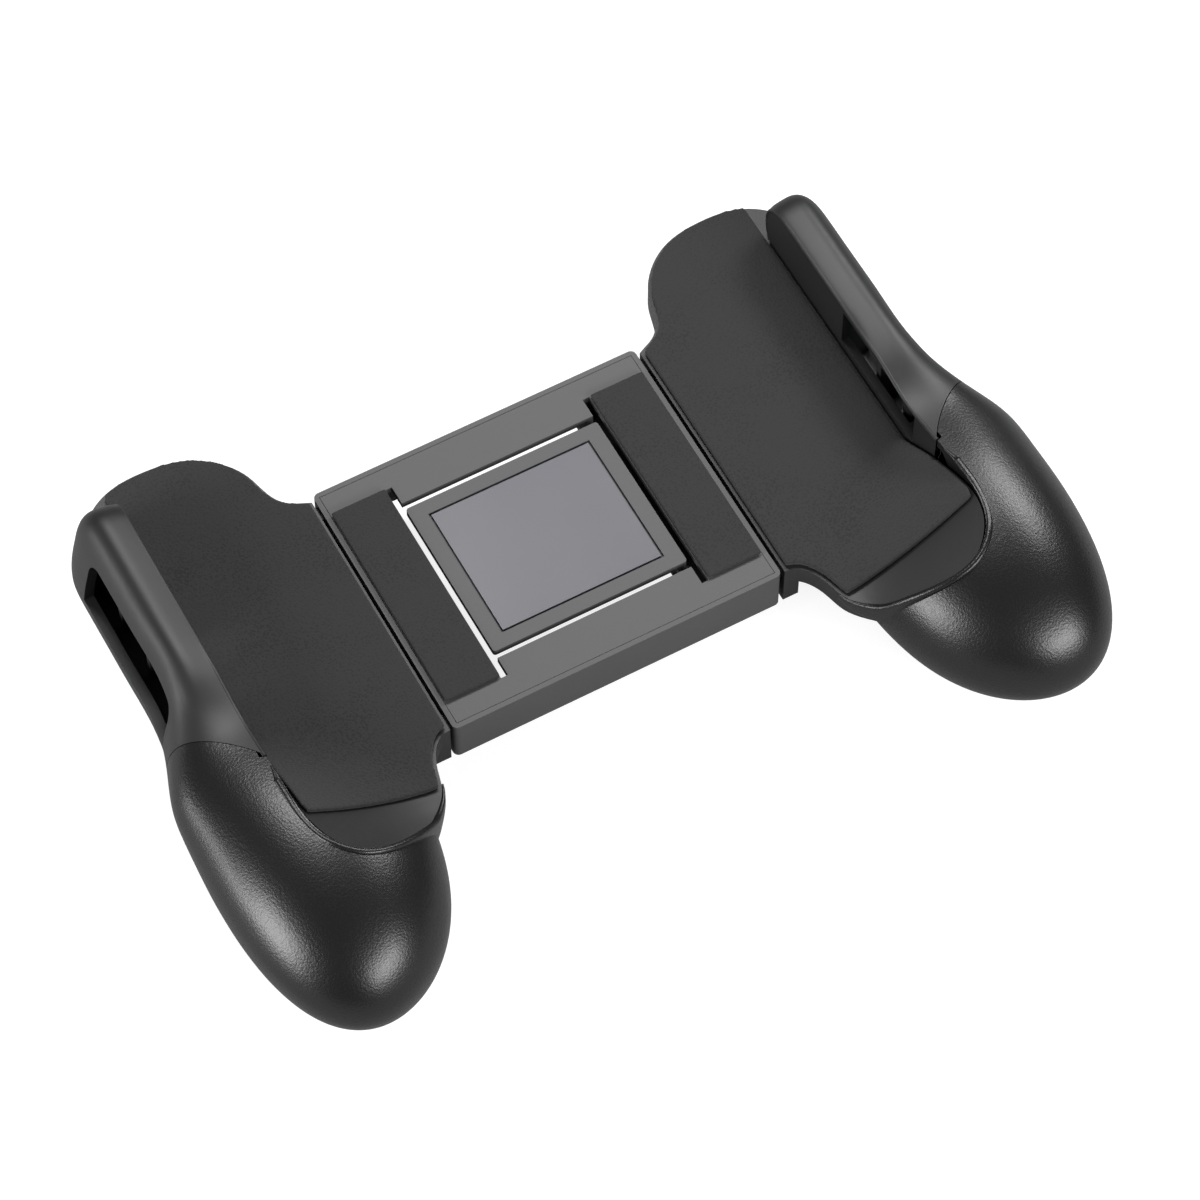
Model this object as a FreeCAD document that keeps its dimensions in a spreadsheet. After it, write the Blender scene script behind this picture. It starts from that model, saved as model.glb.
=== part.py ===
"""Telescopic grip that holds a phone: two padded handles slide out of a flat centre body."""
import FreeCAD
import Part
import math
import os

from FreeCAD import Placement, Rotation, Vector

# Sizes in millimetres, read by every piece
SIZES = {
    # centre body
    "body_width": 69.0,
    "body_depth": 57.5,
    "body_height": 10.2,
    "body_corner": 1.2,
    "shell_wall": 1.45,
    "shell_floor": 1.5,
    "rim_wall": 1.0,
    "cover_thickness": 1.5,
    "cover_clearance": 0.1,
    "strip_margin": 1.2,
    "strip_end_margin": 5.45,
    "strip_height": 0.95,
    "glue_gap": 0.05,
    # flap and its window
    "flap_width": 40.9,
    "flap_depth": 35.3,
    "slit_width": 1.45,
    "slit_end_margin": 5.55,
    "flap_corner": 0.6,
    "inlay_border_x": 3.25,
    "inlay_border_y": 2.95,
    "inlay_groove": 0.45,
    "inlay_thickness": 0.7,
    "hinge_inset": 1.45,
    "hinge_drop": 3.3,
    "knuckle_radius": 1.5,
    "pin_radius": 0.7,
    "pin_clearance": 0.05,
    "ear_thickness": 1.6,
    "ear_gap": 0.3,
    "floor_window_back": 26.2,
    "floor_window_front": 19.6,
    "floor_window_left": 22.5,
    "floor_window_right": 21.0,
    # sliding arms and springs
    "travel": 16.0,
    "arm_margin": 1.75,
    "arm_width": 3.0,
    "arm_top": 1.75,
    "arm_thickness": 3.2,
    "arm_end": 2.0,
    "arm_clearance": 0.2,
    "guide_length": 8.05,
    "guide_rib": 1.2,
    "tab_depth": 1.3,
    "stop_clearance": 0.1,
    "spring_radius": 1.0,
    "spring_wire": 0.2,
    "spring_pitch": 1.25,
    "spring_drop": 6.9,
    "post_half": 1.0,
    "hook_start": 13.4,
    "hook_length": 1.6,
    # wing
    "wing_gap": 0.7,
    "wing_thickness": 4.5,
    "wing_root_depth": 10.2,
    "wing_root_length": 3.3,
    "wing_root_front": 28.4,
    "wing_root_back": 27.4,
    "wing_back": 48.7,
    "tongue_edge": 70.6,
    "tongue_front": 24.0,
    "tongue_back": 32.0,
    "pad_thickness": 1.4,
    "pad_inset": 0.6,
    "pad_end": 38.5,
    # rail
    "rail_face": 69.6,
    "rail_wall": 1.8,
    "rail_centre": 74.5,
    "rail_level": 2.5,
    "rail_half_width": 6.0,
    "rail_half_height": 12.0,
    "rail_lean": 13.0,
    "rail_square": 3.2,
    "rail_end": 40.6,
    "rail_end_round": 9.0,
    "rail_end_power": 2.6,
    "rail_blend_back": 2.0,
    "rail_blend_length": 26.0,
    "rail_base": 2.2,
    "slot_front": 6.0,
    "slot_back": 30.0,
    "slot_top": 9.6,
    "slot_corner": 3.0,
    "slot_inset": 1.5,
    "window_front": 16.5,
    "window_back": 10.0,
    "window_low": 2.6,
    "window_top": 11.8,
    "rib_thickness": 1.4,
    "rib_pitch": 12.0,
    "rib_top": 7.6,
    # handle
    "handle_end": 73.9,
    "handle_start": 12.0,
    "handle_centre": 66.9,
    "handle_half_width": 20.6,
    "handle_half_height": 17.3,
    "handle_lean": 16.5,
    "handle_tip_power": 3.77,
    "handle_swing": 3.4,
    "handle_sink": 2.0,
    "handle_bulge": 5.6,
    "handle_narrowing": 4.6,
    "handle_rise": 8.0,
    "handle_lean_change": 5.0,
    "handle_square": 2.0,
    "handle_wall": 2.0,
    "split_level": 9.2,
    "split_gap": 0.05,
    "seam_gap": 0.2,
    "seam_front": 24.3,
    "seam_middle_x": 75.5,
    "seam_middle": 17.4,
    "seam_back_x": 86.0,
    "seam_back": 11.4,
    "tray_rise": 17.6,
    "tray_front": 52.0,
    "tray_back": 14.0,
    "tray_edge": 70.0,
    "tray_foot": 40.0,
    "tray_foot_swing": 24.0,
    "tray_power": 2.1,
    "tray_power_drop": 0.8,
    "tray_wall": 2.2,
    "lip_gap": 0.3,
    # screws
    "screw_radius": 1.0,
    "screw_fit": 0.05,
    "screw_head": 1.9,
    "head_height": 1.2,
    "head_clearance": 0.2,
    "boss_radius": 2.6,
    "cross_half": 0.25,
    "body_screw_inset": 6.0,
    "body_screw_y": 14.0,
    "long_screw": 9.0,
    "handle_screw_sink": 3.2,
    "rear_screw_x": 74.0,
    "rear_screw_y": -32.0,
    "tip_screw_x": 67.0,
    "tip_screw_y": -58.0,
    "rail_screw_sink": 5.8,
    "back_screw_x": 74.6,
    "back_screw_y": 33.4,
    "front_screw_x": 74.4,
    "front_screw_y": -9.6,
    # reach of the tools that cut a whole side away
    "far_x": 110.0,
    "far_y": 90.0,
    "far_z": 60.0,
    "near_x": 20.0,
}

# Places that follow from those sizes
PLACES = {
    "strip_inner": "=flap_width / 2 + slit_width",
    "strip_outer": "=body_width / 2 - strip_margin",
    "strip_reach": "=body_depth / 2 - strip_end_margin",
    "slit_reach": "=body_depth / 2 - slit_end_margin",
    "inlay_width": "=flap_width - inlay_border_x * 2",
    "inlay_depth": "=flap_depth - inlay_border_y * 2",
    "hinge_offset": "=flap_width / 2 - hinge_inset",
    "arm_outer": "=body_depth / 2 - arm_margin",
    "arm_inner": "=arm_outer - arm_width",
    "spring_line": "=arm_outer - arm_width / 2",
    "guide_inner": "=body_width / 2 - shell_wall - guide_length",
    "body_screw_x": "=body_width / 2 - body_screw_inset",
}

doc = FreeCAD.newDocument("phone_grip")
sheet = doc.addObject("Spreadsheet::Sheet", "Values")
for row, (alias, value) in enumerate({**SIZES, **PLACES}.items(), start=1):
    sheet.set(f"A{row}", alias)
    sheet.set(f"B{row}", str(value))
    sheet.setAlias(f"B{row}", alias)
doc.recompute()


def val(alias):
    """Value of one cell of the sheet."""
    return float(getattr(sheet, alias))


def bind(obj, prop, expression):
    """Bind a property to an expression in which sheet names stand alone."""
    words = expression.replace("(", " ( ").replace(")", " ) ").split()
    text = " ".join(f"Values.{word}" if word in SIZES or word in PLACES else word for word in words)
    obj.setExpression(prop, text)


def box(name, x, y, z):
    """Box whose low and high ends are expressions along each axis."""
    obj = doc.addObject("Part::Box", name)
    for prop, axis, (low, high) in zip(("Length", "Width", "Height"), "xyz", (x, y, z)):
        bind(obj, prop, f"( {high} ) - ( {low} )")
        bind(obj, f"Placement.Base.{axis}", low)
    return obj


def cylinder(name, radius, height, at, along="z"):
    """Cylinder from a point given as three expressions, along x, y or z."""
    obj = doc.addObject("Part::Cylinder", name)
    bind(obj, "Radius", radius)
    bind(obj, "Height", height)
    turns = {"x": (Vector(0, 1, 0), 90), "y": (Vector(1, 0, 0), -90), "z": (Vector(0, 0, 1), 0)}
    obj.Placement = Placement(Vector(), Rotation(*turns[along]))
    for axis, expression in zip("xyz", at):
        bind(obj, f"Placement.Base.{axis}", expression)
    return obj


def cut(name, base, tool):
    """Base less tool."""
    obj = doc.addObject("Part::Cut", name)
    obj.Base = base
    obj.Tool = tool
    return obj


def common(name, base, tool):
    """What two shapes share."""
    obj = doc.addObject("Part::Common", name)
    obj.Base = base
    obj.Tool = tool
    return obj


def fuse(name, *shapes):
    """One shape from several."""
    obj = doc.addObject("Part::MultiFuse", name)
    obj.Shapes = list(shapes)
    return obj


def free_shape(name, shape):
    """Shape that no primitive gives, such as a loft between sections."""
    obj = doc.addObject("Part::Feature", name)
    obj.Shape = shape
    return obj


def round_edges(name, base, radius, pick):
    """Fillet on the edges that pick accepts."""
    doc.recompute()
    obj = doc.addObject("Part::Fillet", name)
    obj.Base = base
    edges = enumerate(base.Shape.Edges, start=1)
    obj.Edges = [(index, radius, radius) for index, edge in edges if pick(edge)]
    return obj


def upright(edge):
    """True for a straight edge along z."""
    first, last = edge.Vertexes[0].Point, edge.Vertexes[-1].Point
    return abs(first.x - last.x) < 1e-6 and abs(first.y - last.y) < 1e-6


def mirrored(name, source, normal=(1, 0, 0)):
    """Mirror image in a plane through the origin."""
    obj = doc.addObject("Part::Mirroring", name)
    obj.Source = source
    obj.Normal = Vector(*normal)
    return obj


def both_sides(name, source, normal=(1, 0, 0)):
    """A shape together with its mirror image."""
    return fuse(name, source, mirrored(f"{name}_twin", source, normal))


# Centre shell: tray with windows for the arms
shell_block = box(
    "shell_block",
    ("- body_width / 2", "body_width / 2"),
    ("- body_depth / 2", "body_depth / 2"),
    ("- body_height", "0"),
)
shell_outer = round_edges("shell_outer", shell_block, val("body_corner"), upright)
shell_hollow = box(
    "shell_hollow",
    ("- body_width / 2 + shell_wall", "body_width / 2 - shell_wall"),
    ("- body_depth / 2 + shell_wall", "body_depth / 2 - shell_wall"),
    ("- body_height + shell_floor", "1"),
)
shell_seat = box(
    "shell_seat",
    ("- body_width / 2 + rim_wall", "body_width / 2 - rim_wall"),
    ("- body_depth / 2 + rim_wall", "body_depth / 2 - rim_wall"),
    ("- cover_thickness", "1"),
)
floor_window = box(
    "floor_window",
    ("- floor_window_left", "floor_window_right"),
    ("- floor_window_front", "floor_window_back"),
    ("- body_height - 1", "0"),
)
arm_window = box(
    "arm_window",
    ("body_width / 2 - shell_wall - 1", "body_width / 2 + 1"),
    ("arm_inner - arm_clearance", "arm_outer + arm_clearance"),
    ("- arm_top - arm_thickness - arm_clearance", "- cover_thickness"),
)
arm_windows = both_sides("arm_windows", both_sides("arm_window_pair", arm_window), (0, 1, 0))
shell_void = fuse("shell_void", shell_hollow, shell_seat, floor_window, arm_windows)
shell_tub = cut("shell_tub", shell_outer, shell_void)
guide_side = box(
    "guide_side",
    ("guide_inner", "body_width / 2 - shell_wall"),
    ("arm_inner - arm_clearance - guide_rib", "arm_inner - arm_clearance"),
    ("- body_height + shell_floor", "- cover_thickness"),
)
guide_under = box(
    "guide_under",
    ("body_width / 2 - shell_wall * 2", "body_width / 2 - shell_wall"),
    ("arm_inner - arm_clearance", "body_depth / 2 - shell_wall"),
    ("- body_height + shell_floor", "- arm_top - arm_thickness - arm_clearance"),
)
guide_half = both_sides("guide_half", fuse("guide_block", guide_side, guide_under))
guides = both_sides("guides", guide_half, (0, 1, 0))
spring_post = box(
    "spring_post",
    ("- post_half", "post_half"),
    ("- spring_line - post_half", "- spring_line + post_half"),
    ("- body_height + shell_floor", "- spring_drop + spring_radius + spring_wire"),
)
pillar = cylinder(
    "pillar",
    "boss_radius",
    "body_height - shell_floor - arm_top - arm_thickness",
    ("body_screw_x", "body_screw_y", "- body_height + shell_floor"),
)
pillars = both_sides("pillars", both_sides("pillar_pair", pillar), (0, 1, 0))
shell_body = fuse("shell_body", shell_tub, guides, spring_post, pillars)


def screw(name, at, level, length):
    """Screw driven upwards, with its head at the given level."""
    x, y = at
    head = cylinder(f"{name}_head", "screw_head", "head_height", (x, y, level))
    shank = cylinder(f"{name}_shank", "screw_radius", length, (x, y, f"{level} + head_height"))
    slot = box(
        f"{name}_slot",
        (f"{x} - screw_head * 0.6", f"{x} + screw_head * 0.6"),
        (f"{y} - cross_half", f"{y} + cross_half"),
        (level, f"{level} + head_height / 2"),
    )
    return cut(name, fuse(f"{name}_solid", head, shank), slot)


def screw_way(name, at, level, length):
    """Hole for that screw: a wide well for the head, then a close hole for the shank."""
    x, y = at
    well_end = (x, y, f"{level} + head_height - body_height")
    well = cylinder(f"{name}_well", "screw_head + head_clearance", "body_height", well_end)
    bore_start = (x, y, f"{level} + head_height - 0.01")
    bore = cylinder(f"{name}_bore", "screw_radius + screw_fit", length, bore_start)
    return fuse(name, well, bore)


# Four screws hold the centre together from behind
body_screw_level = "- body_height + head_clearance"
body_screw_length = "body_height - cover_thickness - head_height - head_clearance"
body_screw = screw("body_screw", ("body_screw_x", "body_screw_y"), body_screw_level, body_screw_length)
body_way = screw_way("body_way", ("body_screw_x", "body_screw_y"), body_screw_level, body_screw_length)
centre_screws = both_sides("centre_screws", both_sides("body_screw_pair", body_screw), (0, 1, 0))
body_ways = both_sides("body_ways", both_sides("body_way_pair", body_way), (0, 1, 0))
centre_shell = cut("centre_shell", shell_body, body_ways)

# Centre cover: plate with the H-shaped window, bosses for the screws and ears for the hinge
cover_block = box(
    "cover_block",
    ("- body_width / 2 + rim_wall + cover_clearance", "body_width / 2 - rim_wall - cover_clearance"),
    ("- body_depth / 2 + rim_wall + cover_clearance", "body_depth / 2 - rim_wall - cover_clearance"),
    ("- cover_thickness", "0"),
)
window_middle = box(
    "window_middle",
    ("- flap_width / 2 - slit_width", "flap_width / 2 + slit_width"),
    ("- flap_depth / 2 - slit_width", "flap_depth / 2 + slit_width"),
    ("- cover_thickness - 1", "1"),
)
window_leg = box(
    "window_leg",
    ("flap_width / 2", "flap_width / 2 + slit_width"),
    ("- slit_reach", "slit_reach"),
    ("- cover_thickness - 1", "1"),
)
cover_window = fuse("cover_window", window_middle, both_sides("window_legs", window_leg))
cover_plate = cut("cover_plate", cover_block, cover_window)
ear_block = box(
    "ear_block",
    ("hinge_offset - knuckle_radius", "hinge_offset + knuckle_radius"),
    ("flap_depth / 2 + slit_width", "flap_depth / 2 + slit_width + ear_thickness"),
    ("- hinge_drop", "- cover_thickness"),
)
ear_round = cylinder(
    "ear_round",
    "knuckle_radius",
    "ear_thickness",
    ("hinge_offset", "flap_depth / 2 + slit_width", "- hinge_drop"),
    "y",
)
ears = both_sides("ears", fuse("ear", ear_block, ear_round), (0, 1, 0))
pin_bore = cylinder(
    "pin_bore",
    "pin_radius + pin_clearance",
    "body_depth",
    ("hinge_offset", "- body_depth / 2", "- hinge_drop"),
    "y",
)
centre_cover = cut("centre_cover", fuse("cover_with_ears", cover_plate, ears), pin_bore)

# Flap that folds out behind as a stand
flap_plate = box(
    "flap_plate",
    ("- flap_width / 2", "flap_width / 2"),
    ("- flap_depth / 2", "flap_depth / 2"),
    ("- cover_thickness", "0"),
)
flap_round = round_edges("flap_round", flap_plate, val("flap_corner"), upright)
inlay_seat = box(
    "inlay_seat",
    ("- inlay_width / 2", "inlay_width / 2"),
    ("- inlay_depth / 2", "inlay_depth / 2"),
    ("- inlay_thickness", "1"),
)
knuckle_web = box(
    "knuckle_web",
    ("hinge_offset - knuckle_radius", "hinge_offset + knuckle_radius * 0.9"),
    ("- flap_depth / 2 + ear_gap", "flap_depth / 2 - ear_gap"),
    ("- hinge_drop", "- cover_thickness"),
)
knuckle_round = cylinder(
    "knuckle_round",
    "knuckle_radius",
    "flap_depth - ear_gap * 2",
    ("hinge_offset", "- flap_depth / 2 + ear_gap", "- hinge_drop"),
    "y",
)
flap_body = fuse("flap_body", cut("flap_tray", flap_round, inlay_seat), knuckle_web, knuckle_round)
kickstand_flap = cut("kickstand_flap", flap_body, pin_bore)
flap_inlay = box(
    "flap_inlay",
    ("- inlay_width / 2 + inlay_groove", "inlay_width / 2 - inlay_groove"),
    ("- inlay_depth / 2 + inlay_groove", "inlay_depth / 2 - inlay_groove"),
    ("- inlay_thickness", "- glue_gap"),
)
kickstand_pin = cylinder(
    "kickstand_pin",
    "pin_radius",
    "flap_depth + slit_width * 2 + ear_thickness * 2",
    ("hinge_offset", "- flap_depth / 2 - slit_width - ear_thickness", "- hinge_drop"),
    "y",
)

# Foam strips on the cover
strip_right = box(
    "foam_strip_right",
    ("strip_inner", "strip_outer"),
    ("- strip_reach", "strip_reach"),
    ("glue_gap", "strip_height"),
)
strip_left = mirrored("foam_strip_left", strip_right)

# Springs that draw the grips in, hooked between a post and the front arm
spring_seat = val("spring_wire") + val("glue_gap")
spring_start = val("post_half") + spring_seat
spring_length = val("hook_start") - spring_seat - spring_start
coil = Part.makeHelix(val("spring_pitch"), spring_length, val("spring_radius"))
ring_middle = Vector(val("spring_radius"), 0, 0)
wire_ring = Part.Wire(Part.makeCircle(val("spring_wire"), ring_middle, Vector(0, 1, 0)))
spring_shape = Part.Wire(coil).makePipeShell([wire_ring], True, True)
spring_shape.Placement = Placement(
    Vector(spring_start, -val("spring_line"), -val("spring_drop")),
    Rotation(Vector(0, 1, 0), 90),
)
spring_right = free_shape("spring_right", spring_shape)
spring_left = mirrored("spring_left", spring_right)


# Outer form of one grip: rail and handle as one skin
def smooth(share):
    """Ease from 0 to 1."""
    share = min(max(share, 0.0), 1.0)
    return share * share * (3 - 2 * share)


def section(along, shrink):
    """Closed outline of the grip in the plane y = along, drawn in by shrink."""
    start, end = -val("handle_start"), -val("handle_end")
    reach = min(max((start - along) / (start - end), 0.0), 1.0)
    blend = smooth((val("rail_blend_back") - along) / val("rail_blend_length"))
    handle = (
        val("handle_centre") + reach + val("handle_swing") * reach**4,
        -val("handle_sink") * reach**2,
        val("handle_half_width") + val("handle_bulge") * reach - val("handle_narrowing") * reach**2,
        val("handle_half_height") - val("handle_rise") * (1 - reach) ** 3,
        val("handle_lean") - val("handle_lean_change") * reach,
        val("handle_square"),
    )
    rail = (
        val("rail_centre"),
        val("rail_level"),
        val("rail_half_width"),
        val("rail_half_height"),
        val("rail_lean"),
        val("rail_square"),
    )
    mixed = [start + blend * (end - start) for start, end in zip(rail, handle)]
    centre_x, centre_z, wide, high, lean, square = mixed
    taper = math.sqrt(max(1.0 - reach ** val("handle_tip_power"), 0.0))
    back = max(along - val("rail_end") + val("rail_end_round"), 0.0) / val("rail_end_round")
    power = val("rail_end_power")
    taper *= (1.0 - min(back, 1.0) ** power) ** (1 / power)
    wide = max(wide * taper - shrink, 0.05)
    high = max(high * taper - shrink, 0.05)
    lean = math.radians(lean)
    points = []
    count = 28
    for index in range(count):
        turn = 2 * math.pi * index / count
        flat = math.copysign(abs(math.cos(turn)) ** (2 / square), math.cos(turn)) * wide
        rise = math.copysign(abs(math.sin(turn)) ** (2 / square), math.sin(turn)) * high
        x = centre_x + flat * math.cos(lean) - rise * math.sin(lean)
        z = centre_z + flat * math.sin(lean) + rise * math.cos(lean)
        points.append(Vector(x, along, z))
    curve = Part.BSplineCurve()
    curve.interpolate(points, PeriodicFlag=True)
    return Part.Wire(curve.toShape())


def skin(stations, shrink):
    """Solid through the sections at the stations."""
    return Part.makeLoft([section(along, shrink) for along in stations], True, False)


tip = val("handle_end")
back_end = val("rail_end")
middle_stations = [22.0, 12.0, 2.0, -4.0, -10.0, -16.0, -22.0, -30.0, -38.0, -46.0, -54.0]
outer_stations = [back_end - step for step in (0.02, 0.7, 2.4, 5.0, 9.0)] + middle_stations
outer_stations += [step - tip for step in (12.9, 7.4, 3.5, 1.3, 0.3, 0.02)]
inner_stations = [back_end - step for step in (3.4, 5.0, 9.0)] + middle_stations
inner_stations += [step - tip for step in (12.9, 7.4, 3.5)]
outer = free_shape("grip_outer", skin(outer_stations, 0.0))
inner = free_shape("grip_inner", skin(inner_stations, val("handle_wall")))


# Tray: the wing's upper face, flat over the wing and rising as a scoop into the handle
def tray_height(x, y):
    """Height of the tray's face."""
    share = (-val("tray_back") - y) / (val("tray_front") - val("tray_back"))
    share = min(max(share, 0.0), 1.0)
    rise = val("tray_rise") * (1 - (1 - share) ** 2)
    foot = val("tray_foot") + val("tray_foot_swing") * (1 - share) ** 3
    across = min(max((x - foot) / (val("tray_edge") - foot), 0.0), 1.0)
    return rise * across ** (val("tray_power") - val("tray_power_drop") * share)


tray_steps = [30.0, 38.0, 44.0, 49.0, 54.0, 58.0, 62.0, 65.5, 68.0, 70.0]
tray_lines = [-14.0, -17.0, -20.5, -24.5, -29.0, -34.0, -39.0, -44.0, -49.0, -52.0]


def tray_section(y, lift):
    """Outline in the plane of one y: the tray's line above, the wing's underside below."""
    line = [Vector(x, y, tray_height(x, y) + lift) for x in tray_steps]
    curve = Part.BSplineCurve()
    curve.interpolate(line)
    low = -val("wing_thickness") - 1.5
    corners = [line[-1], Vector(tray_steps[-1], y, low), Vector(tray_steps[0], y, low), line[0]]
    sides = [Part.makeLine(first, last) for first, last in zip(corners, corners[1:])]
    return Part.Wire([curve.toShape()] + sides)


def under_tray(lift):
    """Solid under the tray's face raised by lift."""
    return Part.makeLoft([tray_section(y, lift) for y in tray_lines], True, False)


# Outline of the wing in plan, from the back corner round the lobe and the scoop
wing_root = val("body_width") / 2 + val("wing_gap")
face_x = val("rail_face") - 0.1
lobe_points = [(38.0, 28.7), (41.2, 32.0), (43.1, 38.2), (46.3, 43.2), (52.0, 47.2)]
lobe_points += [(60.0, val("wing_back")), (67.7, 47.9), (73.3, 44.6), (76.0, 39.2)]
scoop_points = [(face_x, -33.0), (69.1, -40.0), (67.2, -45.2), (62.4, -49.2), (56.5, -49.4)]
scoop_points += [(50.0, -46.6), (45.0, -42.4), (42.2, -38.6), (41.0, -34.6), (39.2, -30.6)]
scoop_points += [(36.8, -28.5)]


def plan_curve(points, grow):
    """Smooth curve through points in plan, moved outwards by grow, with its two ends."""
    curve = Part.BSplineCurve()
    curve.interpolate([Vector(x, y, 0) for x, y in points])
    moved = []
    for x, y in points:
        along = curve.tangent(curve.parameter(Vector(x, y, 0)))[0]
        moved.append(Vector(x - along.y * grow, y + along.x * grow, 0))
    curve.interpolate(moved)
    return curve.toShape(), moved[0], moved[-1]


def wing_outline(grow):
    """The wing's outline in plan, moved outwards by grow."""
    lobe, lobe_first, lobe_last = plan_curve(lobe_points, grow)
    scoop, scoop_first, scoop_last = plan_curve(scoop_points, grow)
    corners = [
        lobe_last,
        Vector(74.0 + grow, 33.6, 0),
        Vector(val("tongue_edge") + grow, val("tongue_back"), 0),
        Vector(val("tongue_edge") + grow, -val("tongue_front"), 0),
        Vector(face_x + grow, -val("seam_front"), 0),
        scoop_first,
    ]
    root = [
        scoop_last,
        Vector(wing_root - grow, -val("wing_root_front") - grow, 0),
        Vector(wing_root - grow, val("wing_root_back") + grow, 0),
        lobe_first,
    ]
    lines = [Part.makeLine(first, last) for first, last in zip(corners, corners[1:])]
    root_lines = [Part.makeLine(first, last) for first, last in zip(root, root[1:])]
    return Part.Face(Part.Wire([lobe] + lines + [scoop] + root_lines))


wing_face = wing_outline(0.0)


def prism(face, low, high):
    """Face in plan drawn up between two heights."""
    return face.translated(Vector(0, 0, low)).extrude(Vector(0, 0, high - low))


# Seam between rail and handle, an arc in plan
far_x, far_y, far_z, near_x = val("far_x"), val("far_y"), val("far_z"), val("near_x")
seam_first = Vector(val("rail_face"), -val("seam_front"), 0)
seam_middle = Vector(val("seam_middle_x"), -val("seam_middle"), 0)
seam_last = Vector(val("seam_back_x"), -val("seam_back"), 0)
handle_corners = [
    seam_last,
    Vector(far_x, seam_last.y, 0),
    Vector(far_x, -far_y, 0),
    Vector(near_x, -far_y, 0),
    Vector(near_x, seam_first.y, 0),
    seam_first,
]
handle_edges = [Part.makeLine(first, last) for first, last in zip(handle_corners, handle_corners[1:])]
handle_edges.append(Part.Arc(seam_first, seam_middle, seam_last).toShape())
handle_face = Part.Face(Part.Wire(handle_edges))
handle_prism = prism(handle_face, -far_z, far_z)
handle_side = free_shape("handle_side", handle_prism)
seam_side = free_shape("seam_side", handle_prism.translated(Vector(0, val("seam_gap"), 0)))

grip_skin = cut("grip_skin", outer, inner)
handle_skin = common("handle_skin", grip_skin, handle_side)

# Bosses and screws of the handle
handle_spots = {"rear": ("rear_screw_x", "rear_screw_y"), "tip": ("tip_screw_x", "tip_screw_y")}
handle_level = "- split_level - handle_screw_sink"
upper_bosses, lower_bosses, handle_screw_list, handle_ways = [], [], [], []
for place, at in handle_spots.items():
    high = cylinder(f"boss_high_{place}", "boss_radius", "30", (*at, "- split_level"))
    low = cylinder(f"boss_low_{place}", "boss_radius + 0.8", "20", (*at, "- split_level - 20"))
    upper_bosses.append(common(f"boss_upper_{place}", high, inner))
    lower_bosses.append(common(f"boss_lower_{place}", low, inner))
    handle_screw_list.append(screw(f"handle_screw_{place}", at, handle_level, "long_screw"))
    handle_ways.append(screw_way(f"handle_way_{place}", at, handle_level, "long_screw"))
handle_screws_right = fuse("handle_screws_right", *handle_screw_list)
handle_way = fuse("handle_way", *handle_ways)

# Handle shells, split level with the table
above_split = box("above_split", ("near_x", "far_x"), ("- far_y", "0"), ("- split_level", "far_z"))
below_split = box(
    "below_split",
    ("near_x", "far_x"),
    ("- far_y", "0"),
    ("- far_z", "- split_level - split_gap"),
)
scoop_low = -val("wing_thickness") - val("lip_gap")
scoop_way = free_shape("scoop_way", prism(wing_outline(val("lip_gap")), scoop_low, far_z))
upper_skin = cut("upper_skin", common("upper_part", handle_skin, above_split), scoop_way)
upper_with_bosses = fuse("upper_with_bosses", upper_skin, *upper_bosses)
handle_upper_right = cut("handle_upper_right", upper_with_bosses, handle_way)
lower_part = common("lower_part", handle_skin, below_split)
lower_with_bosses = fuse("lower_with_bosses", lower_part, *lower_bosses)
handle_lower_right = cut("handle_lower_right", lower_with_bosses, handle_way)

# Rail cover: the smooth upper part of the rail, open at its slot and its cable window
rail_bore = Part.Face(section(12.0, val("handle_wall"))).extrude(Vector(0, far_z, 0))
rail_core_solid = free_shape("rail_core_solid", rail_bore.translated(Vector(0, -25.5, 0)))
rail_room = box(
    "rail_room",
    ("rail_face + rail_wall", "far_x"),
    ("- 12.5", "rail_end - 4.6"),
    ("- far_z", "far_z"),
)
rail_core = common("rail_core", rail_core_solid, rail_room)
rail_x = ("rail_face", "far_x")
rail_z = ("- rail_base", "far_z")
rail_zone = box("rail_zone", rail_x, ("- far_z", "far_z"), rail_z)
rail_solid = cut("rail_solid", common("rail_upper", outer, rail_zone), seam_side)
rail_block = cut("rail_block", rail_solid, rail_core)
slot_x = ("rail_centre + slot_inset", "far_x")
slot_high = box(
    "slot_high",
    slot_x,
    ("- slot_front + slot_corner", "slot_back - slot_corner"),
    ("- rail_base - 1", "slot_top"),
)
slot_low = box(
    "slot_low",
    slot_x,
    ("- slot_front", "slot_back"),
    ("- rail_base - 1", "slot_top - slot_corner"),
)
slot_rounds = [
    cylinder(f"slot_round_{place}", "slot_corner", "30", (slot_x[0], y, "slot_top - slot_corner"), "x")
    for place, y in (("front", "- slot_front + slot_corner"), ("back", "slot_back - slot_corner"))
]
cable_window = box(
    "cable_window",
    ("rail_face - 1", "rail_face + rail_wall + 2"),
    ("- window_front", "window_back"),
    ("window_low", "window_top"),
)
rail_slot = fuse("rail_slot", slot_high, slot_low, *slot_rounds)
rail_spots = {"back": ("back_screw_x", "back_screw_y"), "front": ("front_screw_x", "front_screw_y")}
rail_level = "- rail_base - rail_screw_sink"
rail_bosses, base_bosses, rail_screw_list, rail_ways = [], [], [], []
for place, at in rail_spots.items():
    high = cylinder(f"rail_high_{place}", "boss_radius - 0.4", "30", (*at, "- rail_base"))
    low = cylinder(f"rail_low_{place}", "boss_radius + 0.4", "20", (*at, "- rail_base - 20"))
    rail_bosses.append(common(f"rail_boss_{place}", high, rail_core))
    base_bosses.append(common(f"base_boss_{place}", low, inner))
    rail_screw_list.append(screw(f"rail_screw_{place}", at, rail_level, "long_screw"))
    rail_ways.append(screw_way(f"rail_way_{place}", at, rail_level, "long_screw"))
rail_screws_right = fuse("rail_screws_right", *rail_screw_list)
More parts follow.
